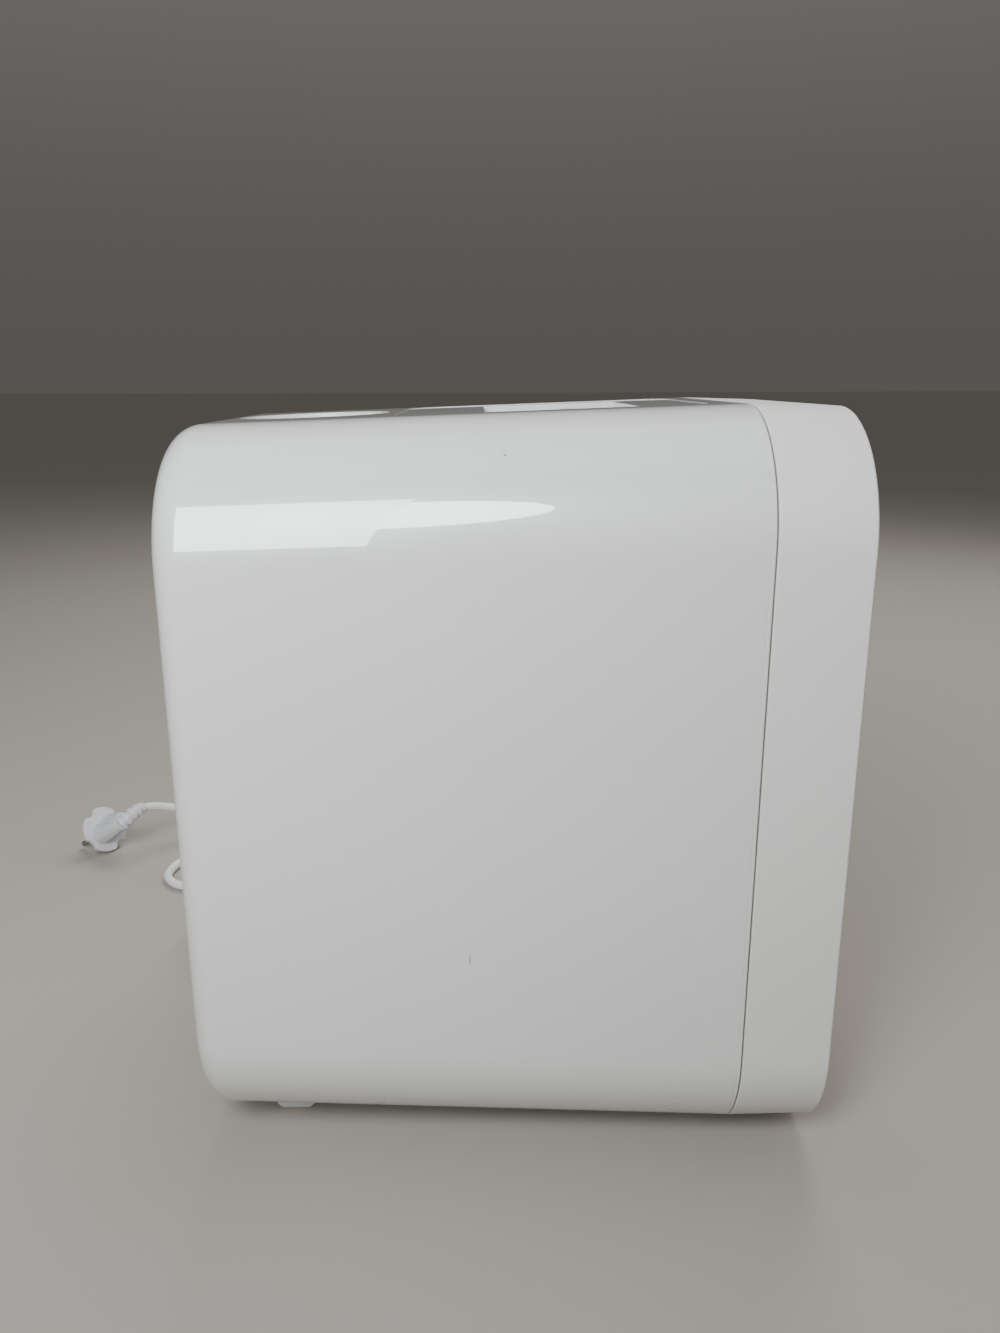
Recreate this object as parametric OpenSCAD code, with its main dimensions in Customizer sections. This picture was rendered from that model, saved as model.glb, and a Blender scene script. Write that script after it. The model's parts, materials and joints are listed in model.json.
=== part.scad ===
// Cool mist humidifier: a deep-drawn glossy casing with a matte front section,
// a lift-out water tank, an ultrasonic basin, a blower and a top mist nozzle.
// X is the width, -Y is the front, +Z is up, and z = 0 is the floor.

/* [Casing] */
// Width of the casing at the seam
casing_w = 274; // [268:1:280]
// Height of the casing at the seam
casing_h = 356; // [352:1:358]
// Height of the casing's lowest edge above the floor
floor_gap = 4; // [3:0.5:5]
// Overall depth, front face to back face
depth = 300; // [296:1:304]
// Depth of the matte front section
front_d = 42; // [40:1:44]
// Radius of the long corners
corner_r = 58; // [56:1:60]
// Radius around the back face
back_r = 14; // [12:1:15]
// Wall thickness of the casing and the front cover
wall = 3; // [2.5:0.5:3.5]
// Inward slope of the casing's top and sides, per mm of depth
draft = 0.034; // [0.030:0.001:0.036]
// Upward slope of the casing's underside, per mm of depth
rise = 0.026; // [0.022:0.001:0.028]
// Width of the groove between the casing and the front cover
seam_gap = 0.8; // [0.5:0.1:1.0]

/* [Water tank] */
// Width of the tank
tank_w = 136; // [132:1:136]
// Depth of the tank
tank_d = 144; // [142:1:145]
// Thickness of the tank's walls
tank_wall = 2.5; // [2:0.5:3]
// Height of the tank's floor above the ground
tank_z = 92; // [91:1:93]
// Gap between the tank and the well that guides it
tank_clearance = 1.5; // [1:0.25:2]

/* [Mist] */
// Distance of the mist duct's axis behind the centre
duct_y = 96; // [95:1:96]
// Outside radius of the mist duct
duct_r = 28.5; // [28.5:0.5:29]
// Radius of the dish that the nozzle sits in
dish_r = 38; // [37.5:0.5:38.5]

/* [Controls] */
// Height of the display's centre
display_z = 262; // [256:1:266]
// Height of the row of buttons
button_z = 214; // [210:1:218]
// Distance between neighbouring buttons
button_pitch = 28; // [25:1:28]
// Radius of a button's face
button_r = 8; // [7:0.5:9]
// Stroke of a button
button_travel = 1.5; // [1:0.25:2]
// Height of the mist knob's axis
knob_z = 150; // [146:1:154]
// Radius of the mist knob
knob_r = 22; // [20:1:23]

/* [Blower] */
// Radius of the blower's housing
blower_r = 42; // [40:1:43]
// Radius of the impeller
impeller_r = 34; // [30:1:35]
// Number of impeller blades
blades = 20; // [12:1:24]

/* [Cord] */
// Diameter of the mains cord
cord_d = 6.5; // [6:0.1:7]

/* [Hidden] */
$fn = 64;
eps = 0.02;

// Frame of the casing
front_y = -depth / 2;
back_y = depth / 2;
seam_y = front_y + front_d;
cover_top_drop = 0.0286;
cover_side_in = 0.006;
cover_low_rise = 0.004;
slope_deg = atan(draft);
boss_r = 5;
pilot_r = 1.6;
screw_r = 1.5;
bulkhead_y = seam_y + 1;
bulkhead_t = 2.5;
bulkhead_gap = 0.4;
boss_back = bulkhead_y + bulkhead_t + 20;
casing_boss_x = 129.3;
casing_boss_z = [110, 250];
cover_boss_x = 108;
cover_boss_z = [62, 300];

// Water parts
tank_y = -22;
tank_r = 16;
tank_top = 330;
seal_t = 1.5;
lid_z = tank_top + seal_t;
lid_gap = 0.8;
well_t = 2;
well_z = 113.8;
well_top = 350;
basin_w = 152;
basin_front = -100;
basin_back = 128;
basin_z = 70;
basin_top = 111;
basin_t = 2.5;
basin_cover_t = 2.5;
mist_wall_y = 62;
neck_r = 20;
neck_h = 8;
cap_r = 26;
cap_z = 78;
cage_r = 11;
cage_top = 100;
seat_r = 5.2;
plunger_z = 82.5;
post_gap = 0.6;
float_x = 48;
float_z = 75;
float_h = 12;

// Handle in its recess
recess_x = 50;
recess_front = -64;
recess_back = 9;
recess_z = 336;
handle_y = 2;
handle_z = 350.4;
handle_t = 9;
handle_reach = 42;
handle_half = 49;
arm_w = 8;
pin_r = 2.5;
pin_gap = 0.06;

// Nozzle
duct_top = 332;
nozzle_r = 34.5;
collar_r = 26;
slot_w = 40;
slot_d = 12;

// Controls
dish_depth = 12;
knob_dish_r = 25;
board_y = -134;
board_t = 1.6;
control_x = -26;
lens_w = 84;
lens_h = 36;
board_half = 44;
board_low = 122;
board_high = 292;
board_post_x = 39;
board_post_z = [129, 286];
window_x = 46;
window_w = 10;
window_h = 150;
window_z = 190;

// Blower and filter
blower_x = -78;
blower_z = 165;
blower_front = 96;
blower_back = 124;
outlet_x = [-64, -38];
filter_x = -72;
filter_w = 76;
filter_h = 96;
filter_gap = 0.3;
filter_d = 12;
slat_pitch = 9;

// Base
chassis_z = 16;
chassis_w = 152;
chassis_front = -98;
chassis_back = 136;
chassis_top = 69.6;
foot_x = 74;
foot_w = 20;
rear_foot_y = 111;
front_foot_y = -82;
foot_bevel = 3;
base_screw_x = 55;
base_screw_y = [-66, 84];

// Mains cord: hand-chosen points, then the coil, then the plug
gland_x = 80;
gland_z = 44;
relief_len = 24;
lead_points = [[80, 174, 44], [80, 188, 42], [83, 200, 36], [92, 208, 24], [104, 208, 12],
    [118, 204, 4.5], [132, 203, 3.3], [145, 208, 3.3], [154, 219, 3.3], [159, 232, 3.3],
    [166, 245, 3.3], [178, 253, 3.3], [192, 253, 3.3], [205, 248, 3.3], [214, 238, 3.3],
    [218, 224, 3.3], [219, 205, 3.3], [218, 180, 3.3], [218, 150, 3.3]];
tail_points = [[304.7, 150, 9.7], [305, 168, 6.5], [301.5, 188, 3.5], [291, 208, 4.5],
    [276, 228, 11], [262, 246, 20], [250, 264, 29], [240, 278, 35], [231, 286, 37.5]];
boot_points = [[231, 286, 37.5], [224, 289, 37.5], [219.5, 292.5, 35], [217, 296.6, 31.5]];
coil_x = 261;
coil_y = 150;
coil_mid_r = 36.5;
coil_half = 10.2;
coil_h = 13;
plug_at = [235, 321, 16.6];
plug_heading = 57;
plug_dip = 28;
flange_r = 18.5;
pin_len = 19;
pin_half = 9.5;
plug_turn = -25;

// Colours
gloss_white = [0.90, 0.89, 0.86];
matte_white = [0.88, 0.87, 0.83];
inner_white = [0.82, 0.82, 0.80];
clear_blue = [0.72, 0.82, 0.88, 0.45];

function half_w(y) = casing_w / 2 - draft * (y - seam_y);
function top_z(y) = floor_gap + casing_h - draft * (y - seam_y);
function low_z(y) = floor_gap + rise * (y - seam_y);

// ---- Shared shapes ----

module rounded(w, h, r) {
    square([w - 2 * r, h], center = true);
    square([w, h - 2 * r], center = true);
    for (x = [-1, 1], y = [-1, 1])
        translate([x * (w / 2 - r), y * (h / 2 - r)]) circle(r);
}

// A plate with rounded corners that faces along Y, from y0 to y1
module y_plate(y0, y1, w, h, r) {
    translate([0, y1, 0]) rotate([90, 0, 0]) linear_extrude(y1 - y0) rounded(w, h, r);
}

// A round bar along Y, from y0 to y1
module y_rod(y0, y1, r) {
    translate([0, y1, 0]) rotate([90, 0, 0]) cylinder(h = y1 - y0, r = r);
}

module box_between(low, high) {
    translate(low) cube(high - low);
}

// A thin slice across the casing or the cover, for hull()
module slice(y, half, low, high, r) {
    for (x = [-1, 1], z = [low + r, high - r])
        translate([x * (half - r), y, z]) rotate([90, 0, 0]) cylinder(h = eps, r = r, $fn = 48);
}

module casing_solid(inset, start) {
    edge_r = back_r - inset;
    hull() {
        slice(start, half_w(seam_y) - inset, low_z(seam_y) + inset,
            top_z(seam_y) - inset, corner_r - inset);
        for (a = [0 : 15 : 90]) {
            y = back_y - inset - edge_r * (1 - sin(a));
            in = inset + edge_r * (1 - cos(a));
            slice(y, half_w(y) - in, low_z(y) + in, top_z(y) - in, corner_r - in);
        }
    }
}

module cover_slice(y, inset) {
    t = seam_y - y;
    slice(y, casing_w / 2 - cover_side_in * t - inset, floor_gap + cover_low_rise * t + inset,
        floor_gap + casing_h - cover_top_drop * t - inset, corner_r - inset);
}

module cover_solid(inset, front, back) {
    hull() {
        cover_slice(front, inset);
        cover_slice(back, inset);
    }
}

// The plan of the tank, its lid and its well, grown by g
module tank_plan(g) {
    translate([0, tank_y]) rounded(tank_w + 2 * g, tank_d + 2 * g, tank_r + g);
}

// A prism over the tank's plan, cut off level with the casing's sloping top
module under_top(g, z0, drop) {
    intersection() {
        translate([0, 0, z0]) linear_extrude(60) tank_plan(g);
        translate([0, seam_y, top_z(seam_y) - drop]) rotate([-slope_deg, 0, 0])
            translate([-100, -20, -100]) cube([200, 260, 100]);
    }
}

// Puts its children on the sloping top, with z = 0 at the surface
module on_top(y) {
    translate([0, y, top_z(y)]) rotate([-slope_deg, 0, 0]) children();
}

module four(x, ys) {
    for (sx = [-1, 1], y = ys) translate([sx * x, y, 0]) children();
}

// ---- Housing ----

module main_casing() {
    color(gloss_white) difference() {
        union() {
            difference() {
                casing_solid(0, seam_y + eps);
                casing_solid(wall, seam_y - 1);
            }
            for (x = [-1, 1], z = casing_boss_z)
                translate([x * casing_boss_x, 0, z]) y_rod(bulkhead_y + bulkhead_t, boss_back, boss_r);
        }
        for (x = [-1, 1], z = casing_boss_z)
            translate([x * casing_boss_x, 0, z]) y_rod(bulkhead_y, boss_back - 2, pilot_r);
        translate([0, 0, 340]) linear_extrude(30) tank_plan(tank_clearance);
        on_top(duct_y) translate([0, 0, -10]) cylinder(h = 20, r = dish_r + 0.2);
        translate([filter_x, 0, blower_z])
            y_plate(back_y - 8, back_y + 2, filter_w + 2 * filter_gap, filter_h + 2 * filter_gap, 6);
        translate([gland_x, 0, gland_z]) y_rod(back_y - 8, back_y + 2, 7.1);
        four(foot_x, [front_foot_y, rear_foot_y]) cube([foot_w + 0.2, foot_w + 0.2, 60], center = true);
        four(base_screw_x, base_screw_y) cylinder(h = 14, r = 1.9);
    }
}

module front_cover() {
    color(matte_white) difference() {
        union() {
            difference() {
                cover_solid(0, front_y + eps, seam_y - seam_gap);
                cover_solid(wall, front_y + wall, seam_y + 1);
            }
            for (x = [-1, 1], z = cover_boss_z)
                translate([x * cover_boss_x, 0, z]) y_rod(front_y + wall / 2, bulkhead_y - 0.3, boss_r);
            translate([control_x, 0, knob_z]) y_rod(front_y + 1, front_y + dish_depth + 2, knob_dish_r + 2);
            for (x = [-1, 1], z = board_post_z)
                translate([control_x + x * board_post_x, 0, z]) y_rod(front_y + wall / 2, board_y, 3.5);
        }
        for (x = [-1, 1], z = cover_boss_z)
            translate([x * cover_boss_x, 0, z]) y_rod(front_y + 14, bulkhead_y + 1, pilot_r);
        translate([control_x, 0, knob_z]) y_rod(front_y - 1, front_y + dish_depth, knob_dish_r);
        translate([control_x, 0, knob_z]) y_rod(front_y - 1, front_y + dish_depth + 4, 4.2);
        translate([control_x, 0, display_z])
            y_plate(front_y - 1, front_y + wall + 1, lens_w + 0.4, lens_h + 0.4, 6);
        for (i = [-1 : 1])
            translate([control_x + i * button_pitch, 0, button_z])
                y_rod(front_y - 1, front_y + wall + 1, button_r + 0.35);
        translate([window_x, 0, window_z])
            y_plate(front_y - 1, front_y + wall + 1, window_w + 0.4, window_h + 0.4, 4.5);
    }
}

module seam_gasket() {
    color([0.86, 0.82, 0.70]) difference() {
        cover_solid(0.9, seam_y - seam_gap + eps, seam_y);
        cover_solid(wall + 1, seam_y - seam_gap - 1, seam_y + 1);
    }
}

module front_bulkhead() {
    mid_z = floor_gap + casing_h / 2;
    in = 2 * (wall + bulkhead_gap);
    color(inner_white) difference() {
        translate([0, 0, mid_z]) y_plate(bulkhead_y, bulkhead_y + bulkhead_t, casing_w - in,
            casing_h - in, corner_r - wall - bulkhead_gap);
        translate([0, 0, 190]) y_plate(bulkhead_y - 1, bulkhead_y + 4, 150, 210, 12);
        for (x = [-1, 1], z = casing_boss_z)
            translate([x * casing_boss_x, 0, z]) y_rod(bulkhead_y - 1, bulkhead_y + 4, 1.8);
        for (x = [-1, 1], z = cover_boss_z)
            translate([x * cover_boss_x, 0, z]) y_rod(bulkhead_y - 1, bulkhead_y + 4, 1.8);
    }
}

module chassis() {
    mid_y = (chassis_front + chassis_back) / 2;
    len = chassis_back - chassis_front;
    color(inner_white) difference() {
        union() {
            difference() {
                translate([0, mid_y, chassis_z]) linear_extrude(chassis_top - chassis_z)
                    rounded(chassis_w, len, 12);
                translate([0, mid_y, chassis_z + 2.5]) linear_extrude(80)
                    rounded(chassis_w - 5, len - 5, 9.5);
            }
            for (x = [-1, 1], y = base_screw_y)
                translate([x * base_screw_x, y, low_z(y) + wall + 0.2])
                    cylinder(h = chassis_z + 8 - low_z(y) - wall - 0.2, r = boss_r);
        }
        four(base_screw_x, base_screw_y) cylinder(h = chassis_z + 6, r = pilot_r);
        box_between([20, chassis_back - 6, 34], [70, chassis_back + 2, 56]);
        box_between([-20, chassis_front - 2, 30], [20, chassis_front + 6, 50]);
    }
}

module front_feet() {
    color([0.93, 0.93, 0.91]) four(foot_x, [front_foot_y]) foot(11.5);
}

module rear_feet() {
    color([0.93, 0.93, 0.91]) four(foot_x, [rear_foot_y]) foot(15.5);
}

// A soft pad with bevelled ends, pressed into a square hole in the underside
module foot(top) {
    half = foot_w / 2;
    rotate([90, 0, 90]) translate([0, 0, -half]) linear_extrude(foot_w)
        polygon([[-half + foot_bevel, 0], [half - foot_bevel, 0], [half, foot_bevel - 0.5],
            [half, top], [-half, top], [-half, foot_bevel - 0.5]]);
}

module casing_screws() {
    color("silver") for (x = [-1, 1], y = base_screw_y)
        translate([x * base_screw_x, y, low_z(y) - 2]) {
            cylinder(h = 1.8, r = 3.5);
            cylinder(h = 14, r = screw_r);
        }
}

module bulkhead_screws() {
    color("silver") for (x = [-1, 1], z = casing_boss_z)
        translate([x * casing_boss_x, 0, z]) {
            y_rod(bulkhead_y, boss_back - 6, screw_r);
            y_rod(bulkhead_y - 0.8, bulkhead_y, 3);
        }
}

module cover_screws() {
    color("silver") for (x = [-1, 1], z = cover_boss_z)
        translate([x * cover_boss_x, 0, z]) {
            y_rod(bulkhead_y - 18, bulkhead_y + bulkhead_t + 0.5, screw_r);
            y_rod(bulkhead_y + bulkhead_t, bulkhead_y + bulkhead_t + 2.2, 3.2);
        }
}

// ---- Water basin and mist path ----

module water_basin() {
    mid_y = (basin_front + basin_back) / 2;
    len = basin_back - basin_front;
    color(inner_white) difference() {
        union() {
            difference() {
                translate([0, mid_y, basin_z]) linear_extrude(basin_top - basin_z)
                    rounded(basin_w, len, 14, $fn = 8);
                translate([0, mid_y, basin_z + basin_t]) linear_extrude(60)
                    rounded(basin_w - 2 * basin_t, len - 2 * basin_t, 14 - basin_t, $fn = 8);
            }
            translate([0, tank_y, basin_z + 1])
                cylinder(h = plunger_z - 7.5 - post_gap - basin_z - 1, r = 4);
            translate([float_x, duct_y, basin_z + 1]) cylinder(h = 32, r = 3);
        }
        translate([0, duct_y, basin_z - 1]) cylinder(h = 10, r = 13);
    }
}

module basin_cover() {
    color(inner_white) difference() {
        union() {
            translate([0, (mist_wall_y + basin_back) / 2 - 0.5, basin_top + 0.2])
                linear_extrude(basin_cover_t) rounded(basin_w, basin_back - mist_wall_y + 1, 6);
            box_between([-72, mist_wall_y + 0.2, 82], [72, mist_wall_y + 2.2, basin_top + 1]);
        }
        translate([0, duct_y, basin_top - 1]) cylinder(h = 6, r = duct_r + 0.15);
        box_between([outlet_x[0] - 0.2, 98.8, basin_top - 1],
            [outlet_x[1] + 0.2, 121.2, basin_top + 6]);
    }
}

module tank_well() {
    color(inner_white) union() {
        difference() {
            translate([0, 0, well_z]) linear_extrude(well_top - well_z) tank_plan(tank_clearance + well_t);
            translate([0, 0, well_z - 1]) linear_extrude(260) tank_plan(tank_clearance);
            translate([window_x, 0, window_z])
                y_plate(tank_y - tank_d, tank_y - 60, window_w + 2, window_h - 4, 5);
        }
        translate([0, 0, basin_top + 0.2]) linear_extrude(well_z - basin_top) difference() {
            translate([0, -20]) rounded(basin_w, 160, 14);
            tank_plan(tank_clearance);
        }
    }
}

module mist_duct() {
    color(inner_white) translate([0, duct_y, 0]) difference() {
        union() {
            translate([0, 0, 106]) cylinder(h = duct_top - 106, r = duct_r);
            translate([0, 0, basin_top + basin_cover_t + 0.2]) cylinder(h = 2.5, r = duct_r + 6);
        }
        translate([0, 0, 100]) cylinder(h = 260, r = duct_r - 2.5);
    }
}

module nozzle_dish() {
    color(gloss_white) on_top(duct_y) translate([0, 0, -0.4]) rotate_extrude() polygon([
        [dish_r, 0], [dish_r, -19], [24.9, -19], [24.9, -26], [22.9, -26], [22.9, -4.9],
        [collar_r, -4.9], [collar_r, -16.5], [dish_r - 2, -16.5], [dish_r - 2, 0]]);
}

module mist_nozzle() {
    color(matte_white) on_top(duct_y) difference() {
        union() {
            translate([0, 0, -5]) cylinder(h = 3, r = nozzle_r);
            translate([0, 0, -14]) cylinder(h = 10, r = collar_r + 2.6);
            translate([0, -20, -4]) linear_extrude(2.8) rounded(slot_w, 5, 2.4);
        }
        translate([0, 0, -15]) cylinder(h = 10, r = collar_r + 0.5);
        translate([0, -8, -20]) linear_extrude(30) rounded(slot_w, slot_d, 5.9);
        translate([0, 10, -20]) linear_extrude(30) rounded(slot_w * 0.7, 4, 1.9);
    }
}

module transducer_holder() {
    color([0.75, 0.62, 0.35]) translate([0, duct_y, 0]) difference() {
        translate([0, 0, 60]) cylinder(h = basin_z - 60, r = 20);
        translate([0, 0, 59]) cylinder(h = 9, r = 16);
        translate([0, 0, 59]) cylinder(h = 20, r = 7);
    }
}

module transducer_seal() {
    color([0.25, 0.25, 0.27]) translate([0, duct_y, basin_z]) difference() {
        cylinder(h = 3.5, r = 12.9);
        translate([0, 0, -1]) cylinder(h = 2.8, r = 10.5);
        translate([0, 0, -1]) cylinder(h = 6, r = 8.5);
    }
}

module transducer_disc() {
    color("silver") translate([0, duct_y, basin_z]) cylinder(h = 1.6, r = 10.4);
}

module float_ring() {
    color([0.95, 0.95, 0.95]) translate([float_x, duct_y, float_z]) difference() {
        cylinder(h = float_h, r = 11);
        translate([0, 0, -1]) cylinder(h = float_h + 2, r = 3.4);
        translate([0, 0, 4]) difference() {
            cylinder(h = 4, r = 8.05);
            translate([0, 0, -1]) cylinder(h = 6, r = 5.45);
        }
    }
}

module float_magnet() {
    color([0.3, 0.3, 0.32]) translate([float_x, duct_y, float_z + 4]) difference() {
        cylinder(h = 4, r = 8);
        translate([0, 0, -1]) cylinder(h = 6, r = 5.5);
    }
}

// ---- Water tank ----

module water_tank() {
    color(clear_blue) difference() {
        union() {
            difference() {
                translate([0, 0, tank_z]) linear_extrude(tank_top - tank_z) tank_plan(0);
                translate([0, 0, tank_z + tank_wall]) linear_extrude(300) tank_plan(-tank_wall);
            }
            translate([0, tank_y, tank_z - neck_h]) cylinder(h = neck_h + 1, r = neck_r);
        }
        translate([0, tank_y, tank_z - neck_h - 1]) cylinder(h = neck_h + 6, r = neck_r - 2.5);
    }
}

module lid_seal() {
    color([0.80, 0.82, 0.84]) translate([0, 0, tank_top]) linear_extrude(seal_t) difference() {
        tank_plan(-0.1);
        tank_plan(-tank_wall);
    }
}

module tank_lid() {
    color(gloss_white) difference() {
        union() {
            difference() {
                under_top(tank_clearance - lid_gap, lid_z, 0.3);
                under_top(-tank_wall, lid_z - 1, 3.3);
            }
            intersection() {
                box_between([-recess_x - 2.5, recess_front - 2.5, recess_z - 2.5],
                    [recess_x + 2.5, recess_back + 2.5, 370]);
                under_top(-1, lid_z, 0.5);
            }
            for (x = [-1, 1]) translate([x * (recess_x + 4), handle_y, handle_z])
                rotate([0, 90, 0]) cylinder(h = 6, r = 4.5, center = true);
        }
        box_between([-recess_x, recess_front, recess_z], [recess_x, recess_back, 370]);
        translate([-recess_x - 5, handle_y, handle_z]) rotate([0, 90, 0])
            cylinder(h = 2 * recess_x + 10, r = pin_r + pin_gap);
    }
}

module tank_handle() {
    color(matte_white) translate([0, handle_y, handle_z]) union() {
        for (x = [-1, 1]) {
            translate([x * (handle_half - arm_w / 2), 0, 0]) rotate([0, 90, 0])
                cylinder(h = arm_w, r = handle_t / 2, center = true);
            translate([x * (handle_half - arm_w / 2), -handle_reach / 2, 0])
                cube([arm_w, handle_reach, handle_t], center = true);
            translate([x * (handle_half + 1.5), 0, 0]) rotate([0, 90, 0])
                cylinder(h = 7.5, r = pin_r, center = true);
        }
        translate([0, -handle_reach, 0]) rotate([0, 90, 0])
            cylinder(h = 2 * handle_half, r = handle_t / 2, center = true);
        translate([0, -handle_reach + 3, 0]) cube([2 * handle_half - 4, 7, handle_t], center = true);
    }
}

module tank_cap() {
    color([0.35, 0.55, 0.72]) translate([0, tank_y, 0]) union() {
        difference() {
            translate([0, 0, cap_z]) cylinder(h = tank_z - 0.6 - cap_z, r = cap_r);
            translate([0, 0, cap_z + 4]) cylinder(h = 20, r = neck_r + 0.4);
            translate([0, 0, cap_z - 1]) cylinder(h = 10, r = seat_r);
            for (a = [0 : 12 : 359]) rotate(a) translate([cap_r + 0.6, 0, cap_z - 1])
                cylinder(h = 20, r = 1.4, $fn = 16);
        }
        difference() {
            translate([0, 0, cap_z + 3]) cylinder(h = cage_top - cap_z - 3, r = cage_r);
            translate([0, 0, cap_z + 2]) cylinder(h = cage_top - cap_z - 4.5, r = cage_r - 2);
            translate([0, 0, cap_z]) cylinder(h = 30, r = 3.3);
            for (a = [0, 60, 120]) rotate(a) translate([0, 0, 91]) cube([40, 7, 10], center = true);
        }
    }
}

module cap_gasket() {
    color([0.80, 0.82, 0.84]) translate([0, tank_y, cap_z + 4]) difference() {
        cylinder(h = 2, r = neck_r);
        translate([0, 0, -1]) cylinder(h = 4, r = neck_r - 4);
    }
}

module valve_plunger() {
    color([0.92, 0.92, 0.90]) translate([0, tank_y, plunger_z]) rotate_extrude() polygon([
        [0, -7.5], [2.4, -7.5], [2.4, 1.5], [8, 1.5], [8, 3.5], [3, 3.5], [3, 21], [0, 21]]);
}

module valve_seal() {
    color([0.25, 0.25, 0.27]) translate([0, tank_y, cap_z + 4]) difference() {
        cylinder(h = plunger_z + 1.5 - cap_z - 4, r = 7.8);
        translate([0, 0, -1]) cylinder(h = 4, r = 2.4);
    }
}

module valve_spring() {
    turns = 5;
    z0 = plunger_z + 3.6;
    rise_z = cage_top - 2.6 - z0;
    steps = turns * 16;
    color("silver") translate([0, tank_y, 0]) tube([for (i = [0 : steps])
        let (a = 360 * i / 16) [5.2 * cos(a), 5.2 * sin(a), z0 + 0.5 + (rise_z - 1) * i / steps]],
        [for (i = [0 : steps]) 0.5], 8);
}

// ---- Controls ----

module display_lens() {
    color([0.10, 0.11, 0.13]) translate([control_x, 0, display_z])
        y_plate(front_y + 0.2, front_y + 3.2, lens_w, lens_h, 5.8);
}

module control_board() {
    color([0.12, 0.35, 0.22]) translate([control_x, 0, 0]) difference() {
        union() {
            box_between([-board_half, board_y, board_low], [board_half, board_y + board_t, board_high]);
            box_between([-36, board_y - 12.5, display_z - 14], [36, board_y + 0.5, display_z + 14]);
            translate([0, 0, knob_z]) y_rod(board_y, board_y + 9, 9);
            for (i = [-1 : 1]) translate([i * button_pitch, 0, button_z])
                box_between([-3, board_y - 5, -3], [3, board_y + 0.5, 3]);
        }
        translate([0, 0, knob_z]) y_rod(board_y - 2, board_y + 7, 3.05);
    }
}

module level_window() {
    color([0.75, 0.85, 0.90, 0.5]) translate([window_x, 0, window_z]) {
        y_plate(front_y + 0.2, front_y + wall + 0.2, window_w, window_h, 4.3);
        y_plate(front_y + wall + 0.1, front_y + wall + 2, window_w + 6, window_h + 6, 7);
    }
}

// A cap with a stem that reaches its switch
module button(i) {
    translate([control_x + i * button_pitch, 0, button_z]) {
        y_rod(front_y + 0.2, front_y + 3.6, button_r);
        y_rod(front_y + 3.5, front_y + 5, button_r + 1.5);
        y_rod(front_y + 4.5, board_y - 5 - button_travel - 0.2, 2.5);
    }
}

module power_button() {
    color([0.60, 0.78, 0.60]) button(-1);
}

module timer_button() {
    color([0.80, 0.80, 0.78]) button(0);
}

module mode_button() {
    color([0.80, 0.80, 0.78]) button(1);
}

module mist_knob() {
    color([0.78, 0.77, 0.74]) translate([control_x, 0, knob_z]) difference() {
        union() {
            y_rod(front_y + 0.4, front_y + dish_depth - 1, knob_r);
            y_rod(front_y + 5, board_y + 6, 3);
        }
        for (a = [0 : 10 : 359]) rotate([0, a, 0]) translate([knob_r + 0.5, 0, 0])
            y_rod(front_y - 1, front_y + dish_depth - 2, 1, $fn = 16);
        translate([0, 0, knob_r - 6]) y_plate(front_y - 1, front_y + 1.4, 2, 8, 0.9);
    }
}

// ---- Base electronics ----

module power_board() {
    color([0.72, 0.60, 0.35]) union() {
        box_between([-66, -88, 25], [24, -6, 26.6]);
        for (y = [-78, -16]) for (x = [-58, 16]) translate([x, y, chassis_z + 2.5])
            cylinder(h = 25.2 - chassis_z - 2.5, r = 3);
        translate([-50, -30, 26]) cylinder(h = 20, r = 8);
        translate([-28, -30, 26]) cylinder(h = 16, r = 6);
        box_between([-60, -80, 26], [-38, -62, 40]);
        box_between([15, -52, 26], [24, -38, 38]);
    }
}

module transformer() {
    color([0.75, 0.62, 0.20]) union() {
        box_between([-26, -80, 26.7], [14, -50, 52]);
        translate([-6, -65, 28]) cylinder(h = 28, r = 11);
    }
}

module driver_board() {
    color([0.12, 0.35, 0.22]) union() {
        box_between([-60, 8, 25], [20, 74, 26.6]);
        for (x = [-54, 14], y = [14, 68]) translate([x, y, chassis_z + 2.5])
            cylinder(h = 25.2 - chassis_z - 2.5, r = 3);
        translate([4, 56, 26]) cylinder(h = 14, r = 7);
    }
}

module heat_sink() {
    color([0.70, 0.71, 0.73]) union() {
        box_between([-50, 18, 26.7], [-14, 50, 30]);
        for (i = [0 : 6]) translate([-50 + i * 5.75, 18, 29]) cube([1.5, 32, 22]);
    }
}

module inner_leads() {
    color([0.85, 0.25, 0.20]) for (i = [-1 : 1]) tube([for (p = [[gland_x - 1.5, 140.4, 44],
        [gland_x - 5, 138.6, 43.5], [64, 135, 42], [52, 128, 40], [43, 110, 36], [39, 60, 32],
        [37, 10, 31], [34, -28, 31], [30, -41, 31], [25.4, -44, 31]])
        p + [0, 0, i * 2.4]], [for (k = [0 : 9]) 1.1], 8);
}

// ---- Blower and filter ----

module blower_housing() {
    color([0.30, 0.31, 0.33]) difference() {
        union() {
            translate([blower_x, 0, blower_z]) y_rod(blower_front, blower_back, blower_r);
            box_between([outlet_x[0], 99, 107], [outlet_x[1], 121, blower_z]);
        }
        translate([blower_x, 0, blower_z]) y_rod(blower_front + 2, blower_back + 1, blower_r - 2);
        box_between([outlet_x[0] + 2, 101, 100], [outlet_x[1] - 2, 119, blower_z]);
        translate([blower_x, 0, blower_z]) y_rod(blower_front - 1, blower_front + 3, 4);
    }
}

module blower_cover() {
    color([0.30, 0.31, 0.33]) translate([blower_x, 0, blower_z]) difference() {
        y_rod(blower_back, blower_back + 2, blower_r);
        y_rod(blower_back - 1, blower_back + 3, 24);
    }
}

module blower_motor() {
    color([0.55, 0.56, 0.58]) translate([blower_x, 0, blower_z]) difference() {
        y_rod(76, blower_front, 17);
        y_rod(78, blower_front + 1, 2.55);
    }
}

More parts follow.
